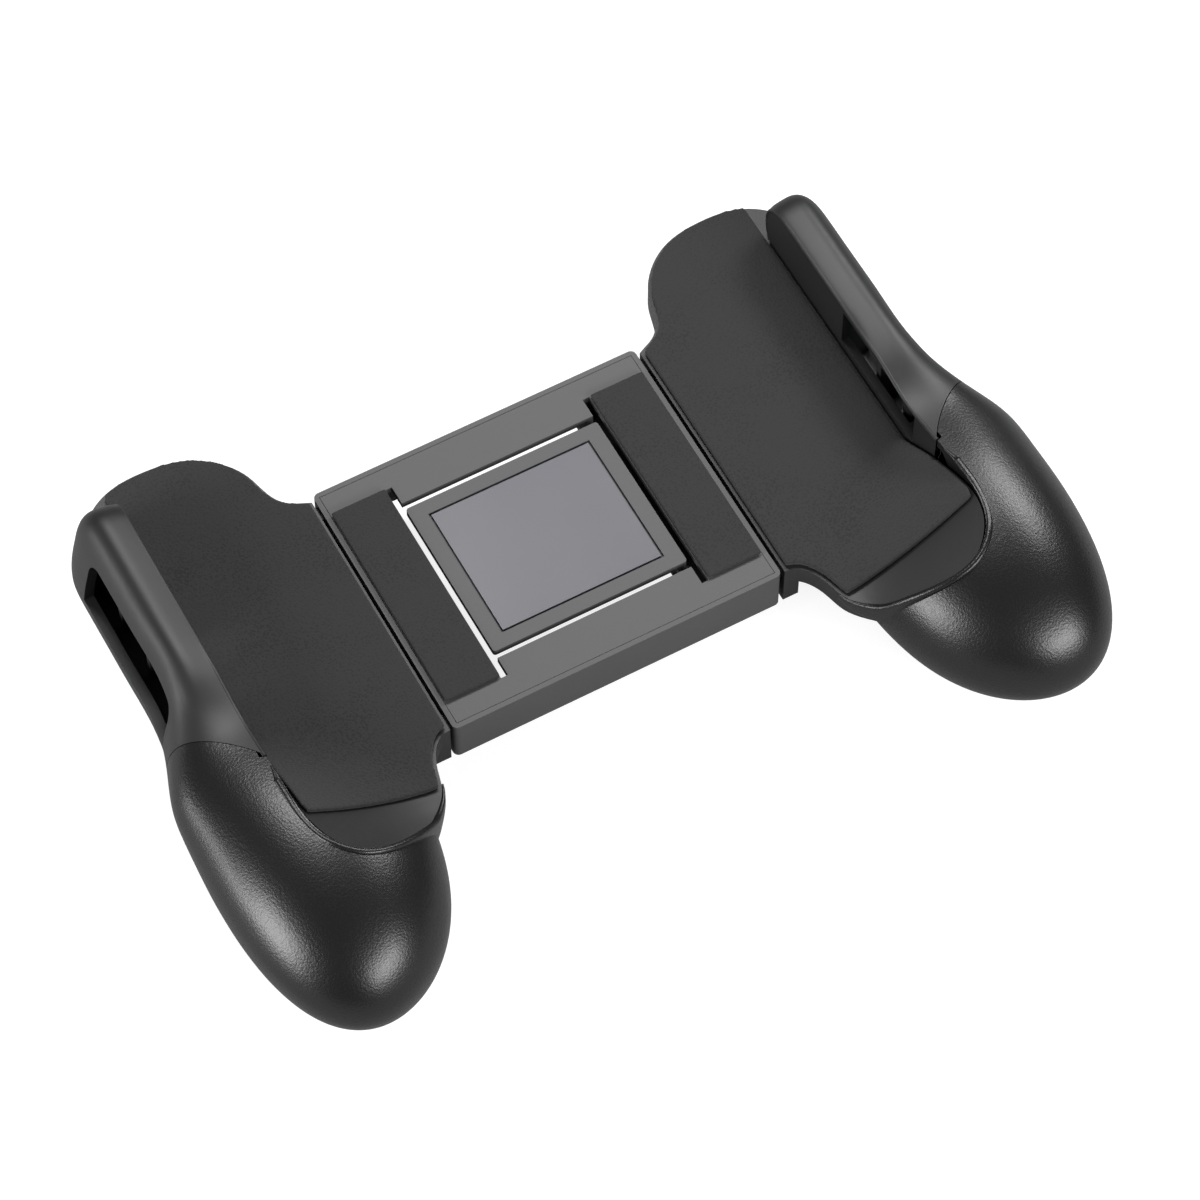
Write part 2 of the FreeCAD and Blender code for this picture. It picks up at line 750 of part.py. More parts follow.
rail_way = fuse("rail_way", *rail_ways)
rail_shell = cut("rail_shell", rail_block, fuse("rail_openings", rail_slot, cable_window))
rail_cover_right = cut("rail_cover_right", fuse("rail_with_bosses", rail_shell, *rail_bosses), rail_way)

# Wing frame: plate, lobe, scoop, base of the rail with its ribs, and the two arms
wing_full = prism(wing_face, -val("wing_thickness"), 0)
scoop_corner = Vector(near_x, -val("tray_back") - far_y, -far_z)
scoop_zone = Part.makeBox(face_x - near_x, far_y, far_z * 2, scoop_corner)
flat_zone = Part.makeBox(far_x, far_y, far_z * 2, Vector(near_x, -val("tray_back"), -far_z))
wing_flat = free_shape("wing_flat", wing_full.common(flat_zone))
scoop_block = prism(wing_face, -val("wing_thickness"), 30).common(scoop_zone)
scoop_room = inner.Shape.common(under_tray(-val("tray_wall")))
wing_scoop = free_shape("wing_scoop", scoop_block.common(under_tray(0)).cut(scoop_room))
below_base = box(
    "below_base",
    ("near_x", "far_x"),
    ("- far_z", "far_z"),
    ("- far_z", "- rail_base - split_gap"),
)
base_skin = cut("base_skin", common("base_low", grip_skin, below_base), seam_side)
ribs = []
for index, step in enumerate(("0", "rib_pitch", "rib_pitch * 2")):
    rib = box(
        f"rib_box_{index}",
        ("rail_face + rail_wall + 0.6", "rail_centre + 2.4"),
        (f"{step} - rib_thickness / 2", f"{step} + rib_thickness / 2"),
        ("- rail_half_height", "rib_top"),
    )
    ribs.append(common(f"rib_{index}", rib, outer))
arm = box(
    "arm",
    ("arm_end", "body_width / 2 + wing_gap + 1"),
    ("arm_inner", "arm_outer"),
    ("- arm_top - arm_thickness", "- arm_top"),
)
arm_tab = box(
    "arm_tab",
    ("arm_end", "guide_inner - travel - stop_clearance"),
    ("arm_inner - tab_depth", "arm_inner + 0.5"),
    ("- arm_top - arm_thickness", "- arm_top"),
)
arms = both_sides("arms", fuse("arm_with_tab", arm, arm_tab), (0, 1, 0))
hook = box(
    "hook",
    ("hook_start", "hook_start + hook_length"),
    ("- spring_line - post_half", "- spring_line + post_half"),
    ("- spring_drop - spring_radius", "- arm_top - arm_thickness + 0.5"),
)
wing_wall = box(
    "wing_wall",
    ("body_width / 2 + wing_gap", "body_width / 2 + wing_gap + wing_root_length"),
    ("- wing_root_front", "wing_root_back"),
    ("- wing_root_depth", "- 0.5"),
)
rail_side = box("rail_side", rail_x, ("- far_z", "tongue_back + 1"), rail_z)
rail_end_zone = box("rail_end_zone", rail_x, ("tongue_back", "far_z"), rail_z)
rail_end_clear = common("rail_end_clear", outer, rail_end_zone)
wing_open = cut("wing_open", wing_flat, fuse("rail_clear", rail_side, rail_end_clear))
frame_pieces = [wing_open, wing_scoop, base_skin, *ribs, *base_bosses, arms, hook, wing_wall]
frame_parts = fuse("frame_parts", *frame_pieces)
wing_frame_right = cut("wing_frame_right", frame_parts, rail_way)

# Foam pad that follows the tray's face
pad_face = wing_outline(-val("pad_inset"))
pad_low = val("glue_gap")
pad_corner = Vector(near_x, -val("pad_end"), -far_z)
pad_zone = Part.makeBox(face_x - near_x - 0.25, far_x, far_z * 2, pad_corner)
pad_flat = prism(pad_face, pad_low, val("pad_thickness")).common(pad_zone).common(flat_zone)
pad_block = prism(pad_face, pad_low, 30).common(pad_zone).common(scoop_zone)
pad_curved = pad_block.common(under_tray(val("pad_thickness"))).cut(under_tray(pad_low + 0.02))
wing_pad_right = free_shape("wing_pad_right", pad_flat.fuse(pad_curved))

pieces = [
    (centre_shell, "centre_shell"),
    (centre_cover, "centre_cover"),
    (kickstand_flap, "kickstand_flap"),
    (flap_inlay, "flap_inlay"),
    (kickstand_pin, "kickstand_pin"),
    (centre_screws, "centre_screws"),
    (strip_left, "foam_strip_left"),
    (strip_right, "foam_strip_right"),
    (spring_left, "spring_left"),
    (spring_right, "spring_right"),
]
grip_pieces = {
    "wing_frame": wing_frame_right,
    "rail_cover": rail_cover_right,
    "handle_upper": handle_upper_right,
    "handle_lower": handle_lower_right,
    "wing_pad": wing_pad_right,
    "handle_screws": handle_screws_right,
    "rail_screws": rail_screws_right,
}
for label, right_piece in grip_pieces.items():
    pieces.append((right_piece, f"{label}_right"))
    pieces.append((mirrored(f"{label}_left", right_piece), f"{label}_left"))
doc.recompute()

for obj in doc.Objects:
    if {"Invalid", "Error"} & set(obj.State):
        raise RuntimeError(f"{obj.Name} did not build: {obj.State}")
for obj, label in pieces:
    if obj.Shape.isNull() or not obj.Shape.isValid():
        raise RuntimeError(f"{label} has no sound shape")

# The frame's origin is under the middle of the whole part, level with its lowest point
whole = FreeCAD.BoundBox()
for obj, label in pieces:
    whole.add(obj.Shape.optimalBoundingBox(False))
shift = Vector(0, -whole.Center.y, -whole.ZMin)
os.makedirs("parts", exist_ok=True)
for obj, label in pieces:
    obj.Label = label
    placed = obj.Shape.copy()
    placed.translate(shift)
    placed.exportStep(f"parts/{label}.step")
print("moved by", shift)
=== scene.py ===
"""Finish and studio for a telescopic phone grip, laid out as an add-on and run as a script."""

import math

import bmesh
import bpy
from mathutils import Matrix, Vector
from mathutils.bvhtree import BVHTree


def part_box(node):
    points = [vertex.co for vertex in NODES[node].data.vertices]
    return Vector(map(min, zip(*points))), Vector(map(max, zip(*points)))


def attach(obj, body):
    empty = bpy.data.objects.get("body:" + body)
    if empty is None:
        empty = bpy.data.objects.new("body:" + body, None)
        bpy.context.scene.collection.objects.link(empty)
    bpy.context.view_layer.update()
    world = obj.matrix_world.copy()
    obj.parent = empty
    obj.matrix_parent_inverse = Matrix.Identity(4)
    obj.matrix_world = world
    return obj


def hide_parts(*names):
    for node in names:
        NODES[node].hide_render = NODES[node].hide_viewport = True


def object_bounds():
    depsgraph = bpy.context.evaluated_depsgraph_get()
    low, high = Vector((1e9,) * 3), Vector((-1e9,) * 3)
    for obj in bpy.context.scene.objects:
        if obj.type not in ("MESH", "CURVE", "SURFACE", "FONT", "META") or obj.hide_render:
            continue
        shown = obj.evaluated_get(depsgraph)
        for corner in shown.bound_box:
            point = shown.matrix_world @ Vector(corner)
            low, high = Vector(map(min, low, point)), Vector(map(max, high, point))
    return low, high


bl_info = {
    "name": "Phone grip finish",
    "version": (1, 0, 0),
    "blender": (4, 5, 0),
    "location": "View3D > Sidebar > Phone grip",
    "description": "Foam, plastics and studio for a telescopic phone grip",
    "category": "Object",
}

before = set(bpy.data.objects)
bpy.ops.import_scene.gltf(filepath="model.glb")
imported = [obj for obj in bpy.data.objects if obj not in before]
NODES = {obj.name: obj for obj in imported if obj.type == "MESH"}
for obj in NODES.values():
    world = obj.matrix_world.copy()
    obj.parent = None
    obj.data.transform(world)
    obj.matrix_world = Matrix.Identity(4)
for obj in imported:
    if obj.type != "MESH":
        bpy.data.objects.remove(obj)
CAD_BOX = [list(corner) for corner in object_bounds()]
SIDES = ("right", "left")
MM = 0.001

# The middle of the centre body's upper face is the reference for places
FACE_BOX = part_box("centre_cover")
FACE = Vector((0.0, (FACE_BOX[0].y + FACE_BOX[1].y) / 2, FACE_BOX[1].z))

# Sharp edges: least angle, distance at which points are joined, cosine of the sharpest bend
SHARP = math.radians(25)
EDGE_WELD = 0.002 * MM
BEND = 0.5

# Distance at which a made mesh's points are joined
WELD = 0.001 * MM

# Rail edge, in mm from FACE on the right: a point by it, its lowest part, how far the bar sinks
RAIL_EDGE_PLACE = (69.6, 10.0, 13.7)
RAIL_EDGE_LOW = 1.0
RAIL_EDGE_SINK = (0.3, 0.0, -0.33)
RAIL_EDGE_STEP = 0.4

# Tray rim, in mm from FACE on the right: a point by it, its ends by the rail and the wing's root
TRAY_EDGE_PLACE = (56.5, -49.4, 8.2)
RIM_BY_RAIL = -24.3
RIM_BY_ROOT = -37.2
ROOT_SIDE = 50.0
RIM_STEP = 0.8

# Probes beside the tray for the handle's face, in mm, and the seam kept where the face is found
PROBES = (0.4, 0.9, 1.5)
PROBE_ABOVE = 6.0
PROBE_BELOW = 1.5
PROBE_START = 10.0
SEAM = 0.32
TOP_MARGIN = 0.02

# The rim's share of its full section at its ends, and the points over which it grows
END_SHARE = 0.3
RAIL_TAPER = 7
ROOT_TAPER = 16

# A bar's corners are rounded by just under half its width, so that they don't meet
ROUNDING = 0.49

# Roughness range, brightness range, grain depth and strength of each finish
FINISHES = {
    # The handle's brightness range paints light onto the grain's pebble tops and shade into its
    # creases
    "handle_leather_plastic": ((0.29, 0.38), (1.15, 0.7), 0.04 * MM, 0.65),
    "rail_satin": ((0.42, 0.5), (0.85, 1.15), 0.01 * MM, 0.6),
    "frame_satin": ((0.4, 0.55), (0.85, 1.15), 0.02 * MM, 0.6),
    "centre_matte": ((0.5, 0.62), (0.85, 1.15), 0.03 * MM, 0.6),
    "inlay_satin": ((0.36, 0.44), (0.85, 1.15), 0.01 * MM, 0.6),
    "plated_steel": ((0.25, 0.5), (0.8, 1.1), 0.02 * MM, 0.5),
}
STEEL_GRAIN = 4000.0

# Studio: aim of the camera in mm from FACE, aim of the lamps, and each lamp's place, size and power
CAMERA_AIM = (2.07, -17.28, 0.0)
LAMP_AIM = Vector((0.0, -0.02, 0.02))
LAMPS = {
    "left_lamp": ((-0.6, -0.03, 0.22), (0.26, 0.34), 3.8),
    "front_lamp": ((0.2, -0.55, 0.31), (0.42, 0.2), 3.8),
    "back_lamp": ((0.07, 0.3, 0.54), (0.26, 0.14), 2.0),
    "edge_lamp": ((-0.52, 0.2, 0.09), (0.24, 0.09), 0.6),
    "right_lamp": ((0.37, 0.16, 0.37), (0.24, 0.13), 1.5),
}
WHITE = (1.0, 1.0, 1.0, 1.0)


class FoamSizes(bpy.types.PropertyGroup):
    """Sizes and colour of the foam pieces."""

    voxel: bpy.props.FloatProperty(
        name="Mesh size",
        description="Spacing of the foam's mesh",
        default=0.45 * MM,
        unit="LENGTH",
    )
    softness: bpy.props.IntProperty(
        name="Edge softness",
        description="How far the cut edges are rounded, in smoothing steps",
        default=4,
    )
    colour: bpy.props.FloatVectorProperty(
        name="Foam colour",
        description="Colour of the foam sheet",
        default=(0.0125, 0.0121, 0.0128),
        subtype="COLOR",
    )


class EdgeSizes(bpy.types.PropertyGroup):
    """Sizes of the rounded edges on rails and handles."""

    rail_radius: bpy.props.FloatProperty(
        name="Rail edge",
        description="Rounding of the rail's inner edge",
        default=0.45 * MM,
        unit="LENGTH",
    )
    rim_width: bpy.props.FloatProperty(
        name="Rim width",
        description="Thickness of the rim round the tray",
        default=1.3 * MM,
        unit="LENGTH",
    )
    rim_height: bpy.props.FloatProperty(
        name="Rim height",
        description="Depth of the rim's wall",
        default=5.4 * MM,
        unit="LENGTH",
    )
    rim_proud: bpy.props.FloatProperty(
        name="Rim proud",
        description="How far the rim stands above the handle",
        default=0.4 * MM,
        unit="LENGTH",
    )
    spacing: bpy.props.FloatProperty(
        name="Spacing",
        description="Distance between the rings of an edge",
        default=0.5 * MM,
        unit="LENGTH",
    )


class PlasticColours(bpy.types.PropertyGroup):
    """Colours of the mouldings."""

    centre: bpy.props.FloatVectorProperty(
        name="Centre",
        description="Centre body",
        default=(0.061, 0.0605, 0.063),
        subtype="COLOR",
    )
    inlay: bpy.props.FloatVectorProperty(
        name="Inlay",
        description="Plate in the flap",
        default=(0.054, 0.053, 0.067),
        subtype="COLOR",
    )
    handle: bpy.props.FloatVectorProperty(
        name="Handle",
        description="Handle shells",
        default=(0.005, 0.005, 0.0054),
        subtype="COLOR",
    )
    rail: bpy.props.FloatVectorProperty(
        name="Rail",
        description="Rail covers",
        default=(0.009, 0.009, 0.0098),
        subtype="COLOR",
    )
    frame: bpy.props.FloatVectorProperty(
        name="Frame",
        description="Wing frames",
        default=(0.013, 0.013, 0.014),
        subtype="COLOR",
    )
    steel: bpy.props.FloatVectorProperty(
        name="Steel",
        description="Screws, pin and springs",
        default=(0.42, 0.42, 0.43),
        subtype="COLOR",
    )


class StudioSettings(bpy.types.PropertyGroup):
    """Camera, floor and light of the room."""

    azimuth: bpy.props.FloatProperty(
        name="Azimuth",
        description="Turn of the camera",
        default=math.radians(-28.69),
        subtype="ANGLE",
    )
    elevation: bpy.props.FloatProperty(
        name="Elevation",
        description="Height of the camera",
        default=math.radians(59.19),
        subtype="ANGLE",
    )
    distance: bpy.props.FloatProperty(
        name="Distance",
        description="Camera to target",
        default=0.869,
        unit="LENGTH",
    )
    lens: bpy.props.FloatProperty(
        name="Lens",
        description="Focal length",
        default=140.5,
        unit="CAMERA",
    )
    room_light: bpy.props.FloatProperty(
        name="Room light",
        description="Strength of the light from all round",
        default=0.14,
        subtype="FACTOR",
    )
    floor_grey: bpy.props.FloatProperty(
        name="Floor grey",
        description="How much of the lamps' light the floor gives back",
        default=0.32,
        subtype="FACTOR",
    )
    floor_glow: bpy.props.FloatProperty(
        name="Floor glow",
        description="Light that the floor gives by itself",
        default=0.1,
        subtype="FACTOR",
    )
    floor_white: bpy.props.FloatProperty(
        name="Floor white",
        description="Extra whiteness of the floor where it is seen",
        default=0.75,
        subtype="FACTOR",
    )


def sizes(name):
    """One property group of the scene."""
    return getattr(bpy.context.scene, name)


def new_group(name, inputs, outputs):
    """Shader group with named sockets: (group, its input node, its output node)."""
    group = bpy.data.node_groups.new(name, "ShaderNodeTree")
    for label, kind, default in inputs:
        made = group.interface.new_socket(name=label, in_out="INPUT", socket_type=kind)
        if default is not None:
            made.default_value = default
    for label, kind in outputs:
        group.interface.new_socket(name=label, in_out="OUTPUT", socket_type=kind)
    return group, group.nodes.new("NodeGroupInput"), group.nodes.new("NodeGroupOutput")


def node(tree, kind, **settings):
    """Node with its properties and input defaults set."""
    made = tree.nodes.new(kind)
    for key, value in settings.items():
        if hasattr(made, key):
            setattr(made, key, value)
        else:
            made.inputs[key.replace("_", " ")].default_value = value
    return made


def maths(tree, operation, first, second=None, third=None):
    """Math node fed by sockets or numbers; returns its output."""
    made = tree.nodes.new("ShaderNodeMath")
    made.operation = operation
    for index, value in enumerate((first, second, third)):
        if value is None:
            continue
        if isinstance(value, (int, float)):
            made.inputs[index].default_value = value
        else:
            tree.links.new(value, made.inputs[index])
    return made.outputs[0]


def leather_grain():
    """Pebbled grain: height and a mask of its creases, which the handle uses for roughness and for
    painted shade in the creases.
    """
    group, given, out = new_group(
        "leather_grain",
        [("Vector", "NodeSocketVector", None), ("Scale", "NodeSocketFloat", 2300.0)],
        [("Height", "NodeSocketFloat"), ("Crease", "NodeSocketFloat")],
    )
    link = group.links.new
    drift = node(group, "ShaderNodeTexNoise", Detail=2.0, Roughness=0.5)
    link(given.outputs["Vector"], drift.inputs["Vector"])
    link(maths(group, "MULTIPLY", given.outputs["Scale"], 0.5), drift.inputs["Scale"])
    warp = node(group, "ShaderNodeVectorMath", operation="MULTIPLY_ADD")
    link(drift.outputs["Color"], warp.inputs[0])
    warp.inputs[1].default_value = (0.0006, 0.0006, 0.0006)
    link(given.outputs["Vector"], warp.inputs[2])
    cells = node(group, "ShaderNodeTexVoronoi", feature="SMOOTH_F1", Smoothness=0.35)
    link(warp.outputs[0], cells.inputs["Vector"])
    link(given.outputs["Scale"], cells.inputs["Scale"])
    fine = node(group, "ShaderNodeTexNoise", Detail=3.0, Roughness=0.6)
    link(given.outputs["Vector"], fine.inputs["Vector"])
    link(maths(group, "MULTIPLY", given.outputs["Scale"], 2.2), fine.inputs["Scale"])
    pebble = maths(group, "SUBTRACT", 1.0, cells.outputs["Distance"])
    height = maths(group, "MULTIPLY_ADD", fine.outputs["Fac"], 0.35, pebble)
    link(height, out.inputs["Height"])
    # Grows from the pebble tops to the creases; as a colour mask it paints shade into the creases
    crease = maths(group, "SMOOTH_MIN", cells.outputs["Distance"], 1.0, 0.1)
    link(crease, out.inputs["Crease"])
    return group


def moulded_grain():
    """Spark-eroded mould finish: fine height and a slow unevenness."""
    group, given, out = new_group(
        "moulded_grain",
        [("Vector", "NodeSocketVector", None), ("Scale", "NodeSocketFloat", 2600.0)],
        [("Height", "NodeSocketFloat"), ("Cloud", "NodeSocketFloat")],
    )
    link = group.links.new
    fine = node(group, "ShaderNodeTexNoise", Detail=4.0, Roughness=0.65)
    link(given.outputs["Vector"], fine.inputs["Vector"])
    link(given.outputs["Scale"], fine.inputs["Scale"])
    slow = node(group, "ShaderNodeTexNoise", Scale=45.0, Detail=3.0, Roughness=0.5)
    link(given.outputs["Vector"], slow.inputs["Vector"])
    link(fine.outputs["Fac"], out.inputs["Height"])
    link(slow.outputs["Fac"], out.inputs["Cloud"])
    return group


def foam_cells():
    """Open-cell foam: height, pores and a slow unevenness; the pores mark the pits that the foam's
    colour darkens as painted shade.
    """
    group, given, out = new_group(
        "foam_cells",
        [("Vector", "NodeSocketVector", None), ("Scale", "NodeSocketFloat", 1900.0)],
        [
            ("Height", "NodeSocketFloat"),
            ("Pores", "NodeSocketFloat"),
            ("Cloud", "NodeSocketFloat"),
        ],
    )
    link = group.links.new
    pores = node(group, "ShaderNodeTexVoronoi", feature="F1")
    link(given.outputs["Vector"], pores.inputs["Vector"])
    link(given.outputs["Scale"], pores.inputs["Scale"])
    fuzz = node(group, "ShaderNodeTexNoise", Detail=4.0, Roughness=0.7)
    link(given.outputs["Vector"], fuzz.inputs["Vector"])
    link(maths(group, "MULTIPLY", given.outputs["Scale"], 0.6), fuzz.inputs["Scale"])
    slow = node(group, "ShaderNodeTexNoise", Scale=70.0, Detail=3.0, Roughness=0.55)
    link(given.outputs["Vector"], slow.inputs["Vector"])
    link(maths(group, "ADD", pores.outputs["Distance"], fuzz.outputs["Fac"]), out.inputs["Height"])
    link(pores.outputs["Distance"], out.inputs["Pores"])
    link(slow.outputs["Fac"], out.inputs["Cloud"])
    return group


def start_material(name):
    """Material with object coordinates ready: (material, tree, shader, coordinates)."""
    material = bpy.data.materials.new(name)
    material.use_nodes = True
    tree = material.node_tree
    where = tree.nodes.new("ShaderNodeTexCoord")
    return material, tree, tree.nodes["Principled BSDF"], where.outputs["Object"]


def place_group(tree, name, vector, **values):
    """A shared group set in a material."""
    made = tree.nodes.new("ShaderNodeGroup")
    made.node_tree = bpy.data.node_groups[name]
    tree.links.new(vector, made.inputs["Vector"])
    for key, value in values.items():
        made.inputs[key].default_value = value
    return made


def tint(tree, colour, mask, low, high):
    """Base colour varied between two brightness levels by a mask."""
    ramp = tree.nodes.new("ShaderNodeMapRange")
    tree.links.new(mask, ramp.inputs["Value"])
    ramp.inputs["To Min"].default_value = low
    ramp.inputs["To Max"].default_value = high
    mix = tree.nodes.new("ShaderNodeMix")
    mix.data_type = "RGBA"
    mix.blend_type = "MULTIPLY"
    mix.inputs["Factor"].default_value = 1.0
    mix.inputs["A"].default_value = (*colour, 1.0)
    tree.links.new(ramp.outputs["Result"], mix.inputs["B"])
    return mix.outputs["Result"]


def roughen(tree, shader, mask, low, high):
    """Roughness varied by a mask."""
    ramp = tree.nodes.new("ShaderNodeMapRange")
    tree.links.new(mask, ramp.inputs["Value"])
    ramp.inputs["To Min"].default_value = low
    ramp.inputs["To Max"].default_value = high
    tree.links.new(ramp.outputs["Result"], shader.inputs["Roughness"])


def bump(tree, shader, height, distance, strength):
    """Bump from a height socket."""
    made = tree.nodes.new("ShaderNodeBump")
    made.inputs["Distance"].default_value = distance
    made.inputs["Strength"].default_value = strength
    tree.links.new(height, made.inputs["Height"])
    tree.links.new(made.outputs["Normal"], shader.inputs["Normal"])


def grained(name, colour, group, shade_mask, rough_mask, **values):
    """Material whose shade, roughness and bump come from one grain group."""
    (low, high), (dark, light), depth, strength = FINISHES[name]
    material, tree, shader, where = start_material(name)
    grain = place_group(tree, group, where, **values)
    shade = tint(tree, colour, grain.outputs[shade_mask], dark, light)
    tree.links.new(shade, shader.inputs["Base Color"])
    roughen(tree, shader, grain.outputs[rough_mask], low, high)
    bump(tree, shader, grain.outputs["Height"], depth, strength)
    return material, shader


def handle_plastic(colour):
    """Black plastic with a fine leather grain, with painted shade in the grain's creases and
    painted light on its pebble tops.
    """
    return grained("handle_leather_plastic", colour, "leather_grain", "Crease", "Crease")[0]


def smooth_plastic(name, colour):
    """Moulded plastic with a very fine grain."""
    return grained(name, colour, "moulded_grain", "Cloud", "Cloud")[0]


def steel_material(colour):
    """Plated steel with fine turning marks."""
    material, shader = grained(
        "plated_steel", colour, "moulded_grain", "Cloud", "Height", Scale=STEEL_GRAIN
    )
    shader.inputs["Metallic"].default_value = 1.0
    return material


def foam_material(colour):
    """Charcoal foam sheet with fine pores, painted darker in their pits as shade, and a random
    unevenness of tone.
    """
    material, tree, shader, where = start_material("foam_sheet")
    shader.inputs["Roughness"].default_value = 0.92
    shader.inputs["Specular IOR Level"].default_value = 0.25
    shader.inputs["Sheen Weight"].default_value = 0.08
    shader.inputs["Sheen Roughness"].default_value = 0.6
    cells = place_group(tree, "foam_cells", where)
    # Painted shade in the pores' pits, plus a slow random unevenness of tone
    varied = maths(tree, "MULTIPLY_ADD", cells.outputs["Pores"], 1.1, cells.outputs["Cloud"])
    tree.links.new(tint(tree, colour, varied, 0.1, 1.75), shader.inputs["Base Color"])
    bump(tree, shader, cells.outputs["Height"], 0.1 * MM, 0.6)
    return material


def dress(names, material):
    """Give CAD nodes a material."""
    for name in names:
        mesh = NODES[name].data
        mesh.materials.clear()
        mesh.materials.append(material)


class GRIP_OT_plastics(bpy.types.Operator):
    """Finish the mouldings and the metal pieces"""

    bl_idname = "grip.plastics"
    bl_label = "Plastics and metal"

    def execute(self, context):
        colours = sizes("grip_colours")
        leather_grain()
        moulded_grain()
        handle = handle_plastic(colours.handle)
        rail = smooth_plastic("rail_satin", colours.rail)
        frame = smooth_plastic("frame_satin", colours.frame)
        centre = smooth_plastic("centre_matte", colours.centre)
        inlay = smooth_plastic("inlay_satin", colours.inlay)
        steel = steel_material(colours.steel)
        dress(("centre_shell", "centre_cover", "kickstand_flap"), centre)
        dress(("flap_inlay",), inlay)
        dress(("kickstand_pin", "centre_screws", "spring_left", "spring_right"), steel)
        for side in SIDES:
            dress((f"handle_upper_{side}", f"handle_lower_{side}"), handle)
            dress((f"rail_cover_{side}",), rail)
            dress((f"wing_frame_{side}",), frame)
            dress((f"handle_screws_{side}", f"rail_screws_{side}"), steel)
        return {"FINISHED"}


def foam_piece(name, source, body):
    """Foam sheet grown from its plain solid, with soft cut edges."""
    foam = sizes("grip_foam")
    piece = bpy.data.objects.new(name, NODES[source].data.copy())
    bpy.context.scene.collection.objects.link(piece)
    shape = bmesh.new()
    shape.from_mesh(piece.data)
    bmesh.ops.remove_doubles(shape, verts=shape.verts, dist=WELD)
    shape.to_mesh(piece.data)
    shape.free()
    grown = piece.modifiers.new("even_mesh", "REMESH")
    grown.mode = "VOXEL"
    grown.voxel_size = foam.voxel
    eased = piece.modifiers.new("soft_edges", "SMOOTH")
    eased.factor = 0.5
    eased.iterations = foam.softness
    depsgraph = bpy.context.evaluated_depsgraph_get()
    mesh = bpy.data.meshes.new_from_object(piece.evaluated_get(depsgraph))
    piece.modifiers.clear()
    piece.data = mesh
    mesh.materials.clear()
    mesh.materials.append(bpy.data.materials["foam_sheet"])
    mesh.shade_smooth()
    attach(piece, body)
    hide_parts(source)
    return piece


class GRIP_OT_foam(bpy.types.Operator):
    """Make the foam pads and strips"""

    bl_idname = "grip.foam"
    bl_label = "Foam pads and strips"

    def execute(self, context):
        foam_cells()
        foam_material(sizes("grip_foam").colour)
        for side in SIDES:
            foam_piece(f"pad_{side}", f"wing_pad_{side}", f"{side}_grip")
            foam_piece(f"strip_{side}", f"foam_strip_{side}", "centre")
        return {"FINISHED"}


def on_side(sign, place):
    """Point given in mm from FACE for the right side, on the side of the sign."""
    return FACE + Vector((sign * place[0], place[1], place[2])) * MM


def sharp_line(name, near):
    """Points of the chain of sharp edges on a CAD node that passes closest to a point."""
    shape = bmesh.new()
    shape.from_mesh(NODES[name].data)
    bmesh.ops.remove_doubles(shape, verts=shape.verts, dist=EDGE_WELD)
    sharp = {edge for edge in shape.edges if edge.calc_face_angle(0.0) > SHARP}
    start = min(sharp, key=lambda edge: ((edge.verts[0].co + edge.verts[1].co) / 2 - near).length)
    sharp.discard(start)
    line = list(start.verts)
    for _ in range(2):
        line.reverse()
        while True:
            tip, heading = line[-1], (line[-1].co - line[-2].co).normalized()
            ahead = {
                edge: heading.dot((edge.other_vert(tip).co - tip.co).normalized())
                for edge in tip.link_edges
                if edge in sharp
            }
            best = max(ahead, key=ahead.get, default=None)
            if best is None or ahead[best] < BEND:
                break
            sharp.discard(best)
            line.append(best.other_vert(tip))
    points = [vert.co.copy() for vert in line]
    shape.free()
    return points


def evened(values, rounds=6):
    """Values averaged with their neighbours along a line."""
    for _ in range(rounds):
        inner = [sum(values[i - 1 : i + 2]) / 3 for i in range(1, len(values) - 1)]
        values = [values[0], *inner, values[-1]]
    return values


def resampled(points, step):
    """Points at even steps along a line."""
    kept, left = [points[0]], step
    for first, last in zip(points, points[1:]):
        span = (last - first).length
        while span >= left > 0:
            first = first.lerp(last, left / span)
            kept.append(first)
            span, left = (last - first).length, step
        left -= span
    return kept


